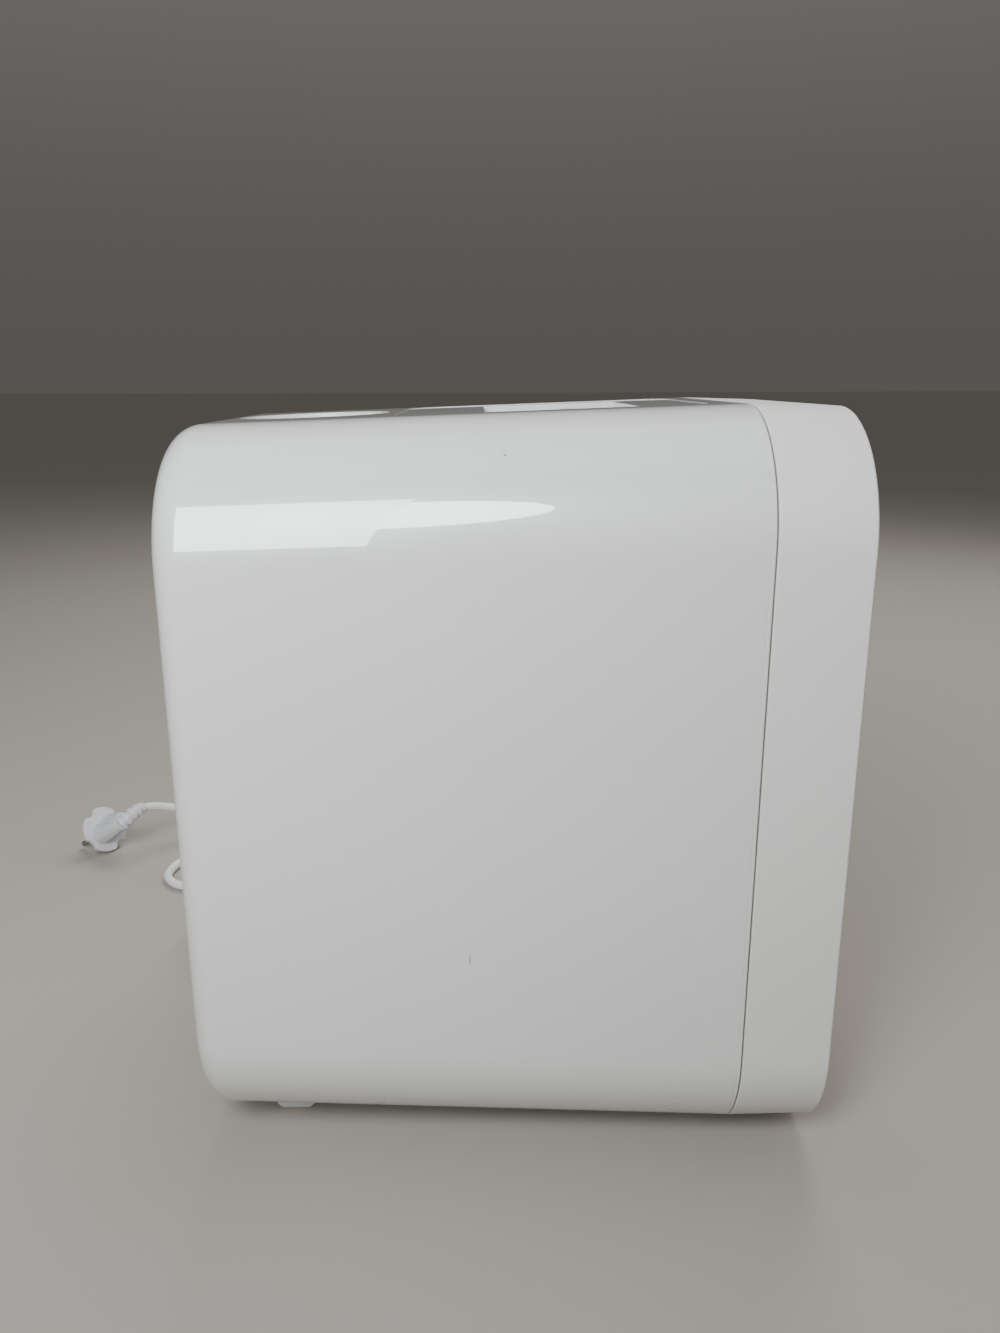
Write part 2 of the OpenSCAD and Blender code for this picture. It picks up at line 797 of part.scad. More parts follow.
module blower_impeller() {
    color([0.88, 0.88, 0.86]) translate([blower_x, 0, blower_z]) union() {
        y_rod(80, 118, 2.5);
        y_rod(blower_front + 4, blower_front + 6, impeller_r);
        y_rod(blower_front + 4, blower_front + 18, 8);
        for (i = [0 : blades - 1]) rotate([0, i * 360 / blades, 0])
            translate([impeller_r - 9, blower_front + 5, 0]) rotate([0, 30, 0])
                translate([0, 0, -0.6]) cube([8, 18, 1.2]);
        difference() {
            y_rod(blower_front + 22, blower_front + 23.5, impeller_r);
            y_rod(blower_front + 20, blower_front + 25, impeller_r - 7);
        }
    }
}

module filter_cover() {
    slats = 8;
    color(gloss_white) translate([filter_x, 0, blower_z]) difference() {
        union() {
            y_plate(back_y - 3, back_y - 0.2, filter_w, filter_h, 5.7);
            difference() {
                y_plate(back_y - filter_d, back_y - 2, filter_w - 2, filter_h - 2, 4.7);
                y_plate(back_y - filter_d - 1, back_y - 2.9, filter_w - 5, filter_h - 5, 3.2);
            }
        }
        for (i = [0 : slats - 1]) translate([0, 0, (i - (slats - 1) / 2) * slat_pitch])
            y_plate(back_y - 4, back_y + 1, filter_w - 14, 4, 1.9);
    }
}

module filter_foam() {
    color([0.35, 0.37, 0.40]) translate([filter_x, 0, blower_z])
        y_plate(back_y - filter_d + 1, back_y - 3.1, filter_w - 5.4, filter_h - 5.4, 3);
}

// ---- Mains cord ----

function unit(v) = v / norm(v);
function mix4(a, b, c, d, t) = 0.5 * (2 * b + (c - a) * t + (2 * a - 5 * b + 4 * c - d) * t * t
    + (3 * b - a - 3 * c + d) * t * t * t);
function before(p) = 2 * p[0] - p[1];
function after(p) = 2 * p[len(p) - 1] - p[len(p) - 2];

// A smooth curve through the points, n steps for each stretch
function smooth(p, n) = let (q = concat([before(p)], p, [after(p)]))
    [for (i = [1 : len(q) - 3], k = [0 : n - 1])
        mix4(q[i - 1], q[i], q[i + 1], q[i + 2], k / n), p[len(p) - 1]];
function heading(p, i) = unit(p[min(i + 1, len(p) - 1)] - p[max(i - 1, 0)]);
function ring(p, i, r, sides) = let (d = heading(p, i), s = unit(cross(d, [0, 0, 1])), u = cross(s, d))
    [for (k = [0 : sides - 1]) p[i] + r * (s * cos(360 * k / sides) + u * sin(360 * k / sides))];

// A round bar along a list of points, with a radius at each point
module tube(p, r, sides) {
    n = len(p);
    points = [for (i = [0 : n - 1]) each ring(p, i, r[i], sides)];
    start = [[for (k = [sides - 1 : -1 : 0]) k]];
    end = [[for (k = [0 : sides - 1]) (n - 1) * sides + k]];
    sides_faces = [for (i = [0 : n - 2], k = [0 : sides - 1]) let (a = i * sides + k,
        b = i * sides + (k + 1) % sides) each [[a, b, b + sides], [a, b + sides, a + sides]]];
    polyhedron(concat(points), concat(start, end, sides_faces));
}

module cord_tube(points, n) {
    p = smooth(points, n);
    tube(p, [for (i = p) cord_d / 2], 10);
}

module strain_relief() {
    color([0.90, 0.90, 0.88]) translate([gland_x, back_y, gland_z]) rotate([-90, 0, 0])
        rotate_extrude() polygon([[cord_d / 2 + 0.05, -8], [9, -8], [9, -wall - 0.2],
            [7, -wall - 0.2], [7, 0.1], [9.5, 0.1], [9.5, 2.5], [7.2, 3.5], [4.6, relief_len],
            [cord_d / 2 + 0.05, relief_len]]);
}

module cord_lead() {
    color([0.92, 0.92, 0.90]) cord_tube(lead_points, 4);
}

module cord_tail() {
    color([0.92, 0.92, 0.90]) cord_tube(tail_points, 4);
}

module cord_coil() {
    color([0.92, 0.92, 0.90]) translate([coil_x, coil_y, 0]) rotate_extrude()
        translate([coil_mid_r - coil_half, 0]) square([2 * coil_half, coil_h]);
}

module coil_tie() {
    half = coil_half + 1.2;
    color([0.20, 0.20, 0.22]) translate([coil_x, coil_y - coil_mid_r, 0]) difference() {
        box_between([-5, -half, 0], [5, half, coil_h + 1.2]);
        box_between([-6, -coil_half, 1.2], [6, coil_half, coil_h]);
    }
}

// Puts its children on the plug's axis: +Z towards the pins, z = 0 at the flange's face
module on_plug() {
    translate(plug_at) rotate([0, 90 + plug_dip, plug_heading]) rotate([0, 0, plug_turn]) children();
}

module plug_boot() {
    color([0.90, 0.90, 0.89]) tube(smooth(boot_points, 6),
        [for (i = [0 : 18]) 4.4 + 1.9 * i / 18], 12);
}

module plug_body() {
    color([0.90, 0.90, 0.89]) on_plug() difference() {
        union() {
            translate([0, 0, -4]) cylinder(h = 4, r = flange_r);
            translate([0, 0, -31]) cylinder(h = 28, r1 = 8.5, r2 = 12);
        }
        for (a = [0 : 90 : 270]) rotate(a) translate([flange_r + 1, 0, -5]) cylinder(h = 8, r = 4.5);
    }
}

module plug_pins() {
    color("silver") on_plug() for (y = [-1, 1]) translate([0, y * pin_half, -2]) {
        cylinder(h = pin_len + 0.6, r = 2.4);
        translate([0, 0, pin_len + 0.6]) cylinder(h = 1.4, r1 = 2.4, r2 = 1.2);
    }
}

main_casing();
front_cover();
seam_gasket();
front_bulkhead();
chassis();
water_basin();
basin_cover();
tank_well();
mist_duct();
nozzle_dish();
display_lens();
control_board();
level_window();
power_board();
transformer();
driver_board();
heat_sink();
transducer_holder();
transducer_disc();
transducer_seal();
blower_housing();
blower_cover();
blower_motor();
front_feet();
rear_feet();
casing_screws();
bulkhead_screws();
cover_screws();
inner_leads();
strain_relief();
cord_lead();
cord_coil();
cord_tail();
coil_tie();
plug_boot();
plug_body();
plug_pins();
water_tank();
tank_lid();
lid_seal();
tank_handle();
tank_cap();
cap_gasket();
valve_plunger();
valve_seal();
valve_spring();
float_ring();
float_magnet();
mist_nozzle();
mist_knob();
power_button();
timer_button();
mode_button();
blower_impeller();
filter_cover();
filter_foam();
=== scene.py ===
import bpy
import bmesh
import json
import math
from mathutils import Matrix, Vector


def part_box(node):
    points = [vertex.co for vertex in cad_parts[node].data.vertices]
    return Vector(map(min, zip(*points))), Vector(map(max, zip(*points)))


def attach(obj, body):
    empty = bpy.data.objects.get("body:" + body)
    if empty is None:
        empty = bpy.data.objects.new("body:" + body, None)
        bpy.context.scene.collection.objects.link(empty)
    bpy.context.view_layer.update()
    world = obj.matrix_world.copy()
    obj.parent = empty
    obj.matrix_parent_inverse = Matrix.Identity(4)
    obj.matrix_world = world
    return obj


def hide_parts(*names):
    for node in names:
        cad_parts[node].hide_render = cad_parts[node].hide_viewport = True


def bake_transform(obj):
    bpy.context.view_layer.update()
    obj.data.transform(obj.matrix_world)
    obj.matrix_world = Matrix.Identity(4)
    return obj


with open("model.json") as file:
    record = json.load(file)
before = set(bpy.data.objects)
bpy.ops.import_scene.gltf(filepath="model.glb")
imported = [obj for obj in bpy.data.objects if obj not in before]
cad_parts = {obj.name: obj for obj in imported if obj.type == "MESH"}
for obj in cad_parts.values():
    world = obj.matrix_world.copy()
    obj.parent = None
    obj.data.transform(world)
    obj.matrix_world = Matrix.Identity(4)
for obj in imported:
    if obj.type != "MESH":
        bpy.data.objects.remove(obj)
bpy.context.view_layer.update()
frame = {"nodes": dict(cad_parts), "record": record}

MM = 0.001
NODES = frame["nodes"]
BODY_OF = {n: b for b, members in frame["record"]["behaviour"]["bodies"].items() for n in members}
SLOT_OF = {s["node"]: s["material_slot"] for s in frame["record"]["subparts"]}

# ------------------------------------------------------------------ sizes

casing_low, casing_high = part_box("main_casing")
SEAM_Y = casing_low.y
BACK_Y = casing_high.y
FRONT_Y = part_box("front_cover")[0].y
CASING_HALF = casing_high.x
CASING_LOW = casing_low.z
CASING_TOP = casing_high.z
CORNER_R = 58 * MM
BACK_R = 14 * MM
WALL = 3 * MM
DRAFT = 0.034
RISE = 0.026
SEAM_GAP = 0.8 * MM
COVER_TOP_DROP = 0.0286
COVER_SIDE_IN = 0.006
COVER_LOW_RISE = 0.004
CORNER_STEPS = 32
FILLET_STEPS = 12
EDGE_STEPS = 6
CORD_D = 6.5 * MM
MERGE_NEW, MERGE_CAD = 1e-6, 2e-6
FLAT_ANGLE = math.radians(0.05)
BEVEL_ANGLE = 38

# ------------------------------------------------------------------ camera

CAMERA_AT = Vector((-0.5501, 0.0131, 0.3706))
CAMERA_PITCH = math.radians(15.53)
CAMERA_YAW = math.radians(1.238)
CAMERA_ROLL = math.radians(-0.16)
CAMERA_LENS = 27.917


def make_camera():
    ahead = Vector((math.cos(CAMERA_PITCH) * math.cos(CAMERA_YAW),
                    -math.cos(CAMERA_PITCH) * math.sin(CAMERA_YAW),
                    -math.sin(CAMERA_PITCH)))
    right = ahead.cross(Vector((0, 0, 1))).normalized()
    up = right.cross(ahead)
    right_r = right * math.cos(CAMERA_ROLL) + up * math.sin(CAMERA_ROLL)
    up_r = up * math.cos(CAMERA_ROLL) - right * math.sin(CAMERA_ROLL)
    data = bpy.data.cameras.new("camera")
    data.sensor_width = 36
    data.lens = CAMERA_LENS
    data.clip_start = 0.01
    obj = bpy.data.objects.new("camera", data)
    turn = Matrix((right_r, up_r, -ahead)).transposed().to_4x4()
    obj.matrix_world = Matrix.Translation(CAMERA_AT) @ turn
    bpy.context.scene.collection.objects.link(obj)
    bpy.context.scene.camera = obj


# ------------------------------------------------------------------ helpers


def new_object(name, data):
    obj = bpy.data.objects.new(name, data)
    bpy.context.scene.collection.objects.link(obj)
    return obj


def mesh_object(name, verts, faces, smooth=True):
    mesh = bpy.data.meshes.new(name)
    mesh.from_pydata([tuple(v) for v in verts], [], faces)
    bm = bmesh.new()
    bm.from_mesh(mesh)
    bmesh.ops.remove_doubles(bm, verts=bm.verts, dist=MERGE_NEW)
    bmesh.ops.recalc_face_normals(bm, faces=bm.faces)
    bm.to_mesh(mesh)
    bm.free()
    if smooth:
        mesh.shade_smooth()
    return new_object(name, mesh)


def modifier(obj, kind, **values):
    mod = obj.modifiers.new(kind.lower(), kind)
    for key, value in values.items():
        setattr(mod, key, value)


def apply_modifiers(obj):
    graph = bpy.context.evaluated_depsgraph_get()
    mesh = bpy.data.meshes.new_from_object(obj.evaluated_get(graph))
    old = obj.data
    obj.modifiers.clear()
    obj.data = mesh
    mesh.name = old.name
    bpy.data.meshes.remove(old)


def combine(obj, operation, others):
    """Adds the other solids to obj (UNION) or takes them out of it (DIFFERENCE), and deletes them."""
    for other in others:
        modifier(obj, "BOOLEAN", operation=operation, solver="EXACT", object=other)
        apply_modifiers(obj)
        bpy.data.objects.remove(other)


def tidy_mesh(obj):
    """Joins faces that lie in one plane, so that bevels and smooth shading stay clean."""
    bm = bmesh.new()
    bm.from_mesh(obj.data)
    bmesh.ops.remove_doubles(bm, verts=bm.verts, dist=MERGE_CAD)
    bmesh.ops.dissolve_limit(bm, angle_limit=FLAT_ANGLE, verts=bm.verts, edges=bm.edges)
    bm.to_mesh(obj.data)
    bm.free()


def soften(obj, width, segments=2, angle=BEVEL_ANGLE):
    """Rounds the edges that are sharper than angle, and gives the faces even shading."""
    modifier(obj, "BEVEL", width=width, segments=segments, limit_method="ANGLE",
             angle_limit=math.radians(angle), harden_normals=False, use_clamp_overlap=True,
             miter_outer="MITER_ARC")
    obj.data.shade_smooth()
    modifier(obj, "WEIGHTED_NORMAL", keep_sharp=True, weight=100)


def finish_with(obj, slot):
    """obj takes the material of one of the record's slots."""
    obj.data.materials.clear()
    obj.data.materials.append(MAT[slot])


def stand_for(obj, node):
    """obj rides where the CAD node rides, takes its material and is shown in its place."""
    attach(obj, BODY_OF[node])
    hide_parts(node)
    finish_with(obj, SLOT_OF[node])
    return obj


def smooth_step(x):
    x = min(1.0, max(0.0, x))
    return x * x * (3 - 2 * x)


def circle(r, steps):
    """Points around a circle as pairs."""
    turns = [2 * math.pi * k / steps for k in range(steps)]
    return [(r * math.cos(a), r * math.sin(a)) for a in turns]


def refined(node, width, segments):
    """A copy of a CAD node with softened edges."""
    mesh = NODES[node].data.copy()
    obj = new_object(node + "_soft", mesh)
    mesh.name = obj.name
    tidy_mesh(obj)
    soften(obj, width, segments)
    stand_for(obj, node)


def rounded_loop(half, low, high, r, steps=CORNER_STEPS):
    """Points (x, z) around a rounded rectangle, anticlockwise from the right side's lower end."""
    points = []
    centres = [(half - r, low + r, -90), (half - r, high - r, 0), (r - half, high - r, 90),
               (r - half, low + r, 180)]
    for cx, cz, start in centres:
        for k in range(steps + 1):
            a = math.radians(start + 90 * k / steps)
            points.append((cx + r * math.cos(a), cz + r * math.sin(a)))
    return points


def casing_loop(y, inset):
    t = y - SEAM_Y
    return [Vector((x, y, z)) for x, z in rounded_loop(
        CASING_HALF - DRAFT * t - inset, CASING_LOW + RISE * t + inset,
        CASING_TOP - DRAFT * t - inset, CORNER_R - inset)]


def cover_loop(y, inset):
    t = SEAM_Y - y
    return [Vector((x, y, z)) for x, z in rounded_loop(
        CASING_HALF - COVER_SIDE_IN * t - inset, CASING_LOW + COVER_LOW_RISE * t + inset,
        CASING_TOP - COVER_TOP_DROP * t - inset, CORNER_R - inset)]


def skin(name, loops, ring=False):
    """A closed solid through a row of loops, capped at both ends, or closed into a ring."""
    n, m = len(loops[0]), len(loops)
    verts = [v for loop in loops for v in loop]
    faces = [(i * n + k, i * n + (k + 1) % n, (i + 1) % m * n + (k + 1) % n, (i + 1) % m * n + k)
             for i in range(m if ring else m - 1) for k in range(n)]
    if not ring:
        last = (m - 1) * n
        faces.append(tuple(range(n)))
        faces.append(tuple(last + k for k in range(n)))
    return mesh_object(name, verts, faces)


def plan_loop(cx, cy, w, d, r, z, steps=16):
    return [Vector((cx + x, cy + y, z)) for x, y in rounded_loop(w / 2, -d / 2, d / 2, r, steps)]


def cylinder_between(a, b, r, steps=64):
    """A closed round bar from a to b."""
    a, b = Vector(a), Vector(b)
    turn = (b - a).to_track_quat("Z", "Y").to_matrix()
    ring = [turn @ Vector((x, y, 0)) for x, y in circle(r, steps)]
    return skin("bar", [[a + v for v in ring], [b + v for v in ring]])


def catmull(points, n):
    """A smooth curve through the points, n steps for each stretch."""
    p = [Vector(v) for v in points]
    p = [2 * p[0] - p[1]] + p + [2 * p[-1] - p[-2]]
    out = []
    for i in range(1, len(p) - 2):
        for k in range(n):
            t = k / n
            out.append(0.5 * (2 * p[i] + (p[i + 1] - p[i - 1]) * t
                              + (2 * p[i - 1] - 5 * p[i] + 4 * p[i + 1] - p[i + 2]) * t * t
                              + (3 * p[i] - p[i - 1] - 3 * p[i + 1] + p[i + 2]) * t ** 3))
    return out + [p[-2]]


# ------------------------------------------------------------------ materials


SCUFF = (0.16, 0.13, 0.10)
DUST = (0.28, 0.25, 0.2)
TRACE = (0.65, 0.6, 0.45)


class Shader:
    """Builds one Principled material from object-space noise."""

    def __init__(self, name, color, rough, **sockets):
        self.mat = bpy.data.materials.new(name)
        self.mat.use_nodes = True
        self.tree = self.mat.node_tree
        self.nodes = self.tree.nodes
        self.bsdf = self.nodes["Principled BSDF"]
        self.bsdf.inputs["Base Color"].default_value = (*color, 1)
        self.bsdf.inputs["Roughness"].default_value = rough
        for key, value in sockets.items():
            self.bsdf.inputs[key.replace("_", " ")].default_value = value
        self.place = self.nodes.new("ShaderNodeTexCoord").outputs["Object"]
        self.color = color
        self.normal = None

    def link(self, a, b):
        self.tree.links.new(a, b)

    def noise(self, scale, detail, stretch=None):
        node = self.nodes.new("ShaderNodeTexNoise")
        node.inputs["Scale"].default_value = scale
        node.inputs["Detail"].default_value = detail
        source = self.place
        if stretch:
            mapping = self.nodes.new("ShaderNodeMapping")
            mapping.inputs["Scale"].default_value = stretch
            self.link(source, mapping.inputs["Vector"])
            source = mapping.outputs["Vector"]
        self.link(source, node.inputs["Vector"])
        return node.outputs["Fac"]

    def speck(self, scale, size):
        """1 in small round spots, 0 elsewhere."""
        node = self.nodes.new("ShaderNodeTexVoronoi")
        node.inputs["Scale"].default_value = scale
        self.link(self.place, node.inputs["Vector"])
        return self.ramp(node.outputs["Distance"], size * 0.6, size, 1, 0)

    def mark(self, at, size, stretch):
        """1 in one small spot at a point, drawn out along Z by stretch."""
        near = self.nodes.new("ShaderNodeMapping")
        near.vector_type = "POINT"
        near.inputs["Location"].default_value = (-at[0], -at[1], -at[2] / stretch)
        near.inputs["Scale"].default_value = (1, 1, 1 / stretch)
        self.link(self.place, near.inputs["Vector"])
        length = self.nodes.new("ShaderNodeVectorMath")
        length.operation = "LENGTH"
        self.link(near.outputs["Vector"], length.inputs[0])
        return self.ramp(length.outputs["Value"], size * 0.5, size, 1, 0)

    def ramp(self, source, low, high, a, b):
        node = self.nodes.new("ShaderNodeMapRange")
        node.interpolation_type = "SMOOTHSTEP"
        for key, value in (("From Min", low), ("From Max", high), ("To Min", a), ("To Max", b)):
            node.inputs[key].default_value = value
        self.link(source, node.inputs["Value"])
        return node.outputs["Result"]

    def times(self, a, b):
        node = self.nodes.new("ShaderNodeMath")
        node.operation = "MULTIPLY"
        self.link(a, node.inputs[0])
        node.inputs[1].default_value = b
        return node.outputs[0]

    def tint(self, factor, color):
        """Mixes color into the base colour by factor, over what is already there."""
        node = self.nodes.new("ShaderNodeMix")
        node.data_type = "RGBA"
        target = self.bsdf.inputs["Base Color"]
        if target.is_linked:
            self.link(target.links[0].from_socket, node.inputs["A"])
        else:
            node.inputs["A"].default_value = target.default_value
        node.inputs["B"].default_value = (*color, 1)
        self.link(factor, node.inputs["Factor"])
        self.link(node.outputs["Result"], target)

    def patches(self, source, low, high, amount, shade):
        """Mixes in the base colour times shade, by at most amount."""
        self.tint(self.ramp(source, low, high, 0.0, amount), [min(1, c * shade) for c in self.color])

    def roughness(self, source, a, b):
        """Roughness from a to b, where the noise goes from its low to its high values."""
        self.link(self.ramp(source, 0.3, 0.7, a, b), self.bsdf.inputs["Roughness"])

    def bump(self, source, distance):
        node = self.nodes.new("ShaderNodeBump")
        node.inputs["Distance"].default_value = distance
        self.link(source, node.inputs["Height"])
        if self.normal:
            self.link(self.normal, node.inputs["Normal"])
        self.normal = node.outputs["Normal"]
        self.link(self.normal, self.bsdf.inputs["Normal"])


def gloss_plastic(name, color, rough=0.3, marks=()):
    """marks are small scuffs: place, radius, stretch along Z, and strength, in mm."""
    s = Shader(name, color, rough, IOR=1.5, Coat_Weight=1.0, Coat_IOR=1.75, Coat_Roughness=0.02)
    s.patches(s.noise(9, 3), 0.3, 0.7, 0.5, 0.985)
    s.roughness(s.noise(20, 3), rough * 0.9, rough * 1.15)
    s.bump(s.noise(90, 2), 0.000008)
    s.bump(s.noise(14, 1), 0.00004)
    for at, size, stretch, shade in marks:
        spot = s.mark([v * MM for v in at], size * MM, stretch)
        s.tint(s.times(spot, shade), SCUFF)
    return s.mat


def matte_plastic(name, color, rough=0.52, grain=1400):
    s = Shader(name, color, rough, IOR=1.46)
    s.patches(s.noise(7, 4), 0.35, 0.7, 0.14, 0.92)
    s.tint(s.times(s.speck(60, 0.03), 0.35), DUST)
    s.roughness(s.noise(40, 4), rough - 0.06, rough + 0.08)
    s.bump(s.noise(grain, 2), 0.00006)
    return s.mat


def inner_plastic(name, color, rough=0.45):
    s = Shader(name, color, rough)
    s.patches(s.noise(22, 4), 0.35, 0.7, 0.2, 0.88)
    s.roughness(s.noise(80, 3), rough - 0.05, rough + 0.1)
    s.bump(s.noise(700, 2), 0.00005)
    return s.mat


def clear_plastic(name, color, weight, rough):
    s = Shader(name, color, rough, IOR=1.49, Transmission_Weight=weight)
    s.roughness(s.noise(20, 1), rough * 0.95, rough * 1.05)
    s.patches(s.noise(16, 2), 0.3, 0.75, 0.5, 0.985)
    return s.mat


def soft_rubber(name, color, rough=0.6, subsurface=0.0):
    s = Shader(name, color, rough, IOR=1.45, Subsurface_Weight=subsurface,
               Subsurface_Scale=0.004)
    s.patches(s.noise(60, 4), 0.35, 0.7, 0.2, 0.85)
    s.roughness(s.noise(90, 3), rough - 0.08, rough + 0.1)
    s.bump(s.noise(900, 3), 0.00005)
    return s.mat


def metal(name, color, rough=0.28, stretch=(1, 1, 1)):
    s = Shader(name, color, rough, Metallic=1.0)
    s.patches(s.noise(50, 4), 0.35, 0.75, 0.25, 0.8)
    s.roughness(s.noise(300, 4, stretch=stretch), rough * 0.7, rough * 1.4)
    s.bump(s.noise(900, 2, stretch=stretch), 0.00003)
    return s.mat


def foam(name, color):
    s = Shader(name, color, 0.95)
    cells = s.nodes.new("ShaderNodeTexVoronoi")
    cells.inputs["Scale"].default_value = 520
    s.link(s.place, cells.inputs["Vector"])
    # Painted shade: the colour darkens towards the middle of each cell, in the pore hollows that the
    # bump below presses in.
    s.tint(s.ramp(cells.outputs["Distance"], 0.1, 0.6, 0.75, 0.0), tuple(c * 0.25 for c in color))
    s.bump(cells.outputs["Distance"], 0.0008)
    return s.mat


def board(name, color):
    s = Shader(name, color, 0.4, Coat_Weight=0.3)
    s.patches(s.noise(160, 2, stretch=(1, 8, 1)), 0.5, 0.56, 0.5, 1.7)
    s.tint(s.ramp(s.noise(190, 2, stretch=(8, 1, 1)), 0.55, 0.6, 0.0, 0.4), TRACE)
    s.roughness(s.noise(120, 3), 0.3, 0.5)
    s.bump(s.noise(200, 2), 0.0001)
    return s.mat


CASING_MARKS = (((-132.7, 18.1, 116.0), 0.7, 4.0, 0.5), ((-115.1, 1.4, 340.4), 0.9, 1.0, 0.8))

MAT = {
    "gloss_casing": gloss_plastic("gloss_casing_m", (0.70, 0.695, 0.675), marks=CASING_MARKS),
    "matte_front": matte_plastic("matte_front_m", (0.71, 0.70, 0.67)),
    "power_cap": matte_plastic("power_cap_m", (0.66, 0.72, 0.66)),
    "seam_rubber": soft_rubber("seam_rubber_m", (0.20, 0.18, 0.14)),
    "inner_plastic": inner_plastic("inner_plastic_m", (0.74, 0.74, 0.72)),
    "dark_lens": gloss_plastic("dark_lens_m", (0.012, 0.013, 0.016), 0.06),
    "green_board": board("green_board_m", (0.02, 0.12, 0.06)),
    "brown_board": board("brown_board_m", (0.32, 0.20, 0.08)),
    "clear_window": clear_plastic("clear_window_m", (0.90, 0.95, 0.97), 0.9, 0.06),
    "tank_plastic": clear_plastic("tank_plastic_m", (0.78, 0.87, 0.93), 0.75, 0.24),
    "transformer_core": metal("transformer_core_m", (0.45, 0.34, 0.08), 0.45),
    "aluminium": metal("aluminium_m", (0.72, 0.72, 0.74), 0.3, (1, 12, 1)),
    "brass": metal("brass_m", (0.72, 0.52, 0.22), 0.3),
    "steel": metal("steel_m", (0.62, 0.62, 0.63), 0.25),
    "black_rubber": soft_rubber("black_rubber_m", (0.03, 0.03, 0.032)),
    "dark_plastic": inner_plastic("dark_plastic_m", (0.06, 0.06, 0.065)),
    "foot_pad": soft_rubber("foot_pad_m", (0.72, 0.72, 0.69), 0.35, 0.35),
    "lead_insulation": inner_plastic("lead_insulation_m", (0.50, 0.06, 0.05)),
    "cord_white": soft_rubber("cord_white_m", (0.74, 0.74, 0.72), 0.38, 0.1),
    "plug_white": soft_rubber("plug_white_m", (0.60, 0.60, 0.62), 0.34, 0.1),
    "pin_nickel": metal("pin_nickel_m", (0.34, 0.32, 0.30), 0.25),
    "silicone": soft_rubber("silicone_m", (0.70, 0.73, 0.76), 0.4, 0.3),
    "blue_cap": inner_plastic("blue_cap_m", (0.16, 0.34, 0.55)),
    "valve_white": inner_plastic("valve_white_m", (0.82, 0.82, 0.80)),
    "filter_grey": foam("filter_grey_m", (0.16, 0.17, 0.19)),
}

# ------------------------------------------------------------------ mains cord

LEAD = [(0.080, 0.174, 0.044), (0.080, 0.188, 0.042), (0.083, 0.200, 0.036), (0.092, 0.208, 0.024),
        (0.104, 0.208, 0.012), (0.118, 0.204, 0.0045), (0.132, 0.203, 0.0033),
        (0.145, 0.208, 0.0033), (0.154, 0.219, 0.0033), (0.159, 0.232, 0.0033),
        (0.166, 0.245, 0.0033), (0.178, 0.253, 0.0033), (0.192, 0.253, 0.0033),
        (0.205, 0.248, 0.0033), (0.214, 0.238, 0.0033), (0.218, 0.224, 0.0033),
        (0.219, 0.205, 0.0033), (0.218, 0.180, 0.0033), (0.218, 0.150, 0.0033)]
TAIL = [(0.3047, 0.150, 0.0097), (0.305, 0.168, 0.0065), (0.3015, 0.188, 0.0035),
        (0.291, 0.208, 0.0045), (0.276, 0.228, 0.011), (0.262, 0.246, 0.020),
        (0.250, 0.264, 0.029), (0.240, 0.278, 0.035), (0.231, 0.286, 0.0375)]
BOOT = [TAIL[-1], (0.224, 0.289, 0.0375), (0.2195, 0.2925, 0.035),
        (0.217, 0.2966, 0.0315)]
COIL_AT = Vector((0.261, 0.150, 0))
COIL_OUT = 0.043
COIL_TURNS = 4.5
CLIMB_FROM = 2.0
CLIMB_TO = 2.4
LAYER_LOW = 0.0033
LAYER_HIGH = 0.0097
PLUG_AT = Vector((0.235, 0.321, 0.0166))
PLUG_HEADING = math.radians(57)
PLUG_DIP = math.radians(28)
PLUG_TURN = math.radians(-25)
PIN_SPACING = 19 * MM


def coil_points(per_turn=40):
    """A flat spiral inwards on the table, then a second one outwards on top of it."""
    points = []
    for i in range(1, int(COIL_TURNS * per_turn)):
        t = i / per_turn
        if t < CLIMB_FROM:
            r = COIL_OUT - CORD_D * t
        elif t < CLIMB_TO:
            r = COIL_OUT - CORD_D * CLIMB_FROM
        else:
            r = COIL_OUT - CORD_D * CLIMB_FROM + CORD_D * (t - CLIMB_TO)
        climb = smooth_step((t - CLIMB_FROM) / (CLIMB_TO - CLIMB_FROM))
        z = LAYER_LOW + (LAYER_HIGH - LAYER_LOW) * climb
        a = math.pi + 2 * math.pi * t
        points.append(COIL_AT + Vector((r * math.cos(a), r * math.sin(a), z)))
    return points


def swept(name, line, radii, steps=32):
    """A closed solid of round sections along a line."""
    loops = []
    up = Vector((0, 0, 1))
    for i, p in enumerate(line):
        ahead = (line[min(i + 1, len(line) - 1)] - line[max(i - 1, 0)]).normalized()
        side = ahead.cross(up).normalized()
        top = side.cross(ahead)
        loops.append([p + side * across + top * over for across, over in circle(radii[i], steps)])
    return skin(name, loops)


def make_cord():
    line = catmull(LEAD, 8)[:-1] + coil_points() + catmull(TAIL, 8)
    line += catmull(BOOT, 8)[1:12]
    cord = swept("mains_cord", line, [CORD_D / 2] * len(line), 20)
    stand_for(cord, "cord_lead")
    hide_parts("cord_coil", "cord_tail")
    length = sum((b - a).length for a, b in zip(line, line[1:]))
    return cord, line, length


make_camera()
mains_cord, cord_line, cord_length = make_cord()

# ------------------------------------------------------------------ casing and front cover

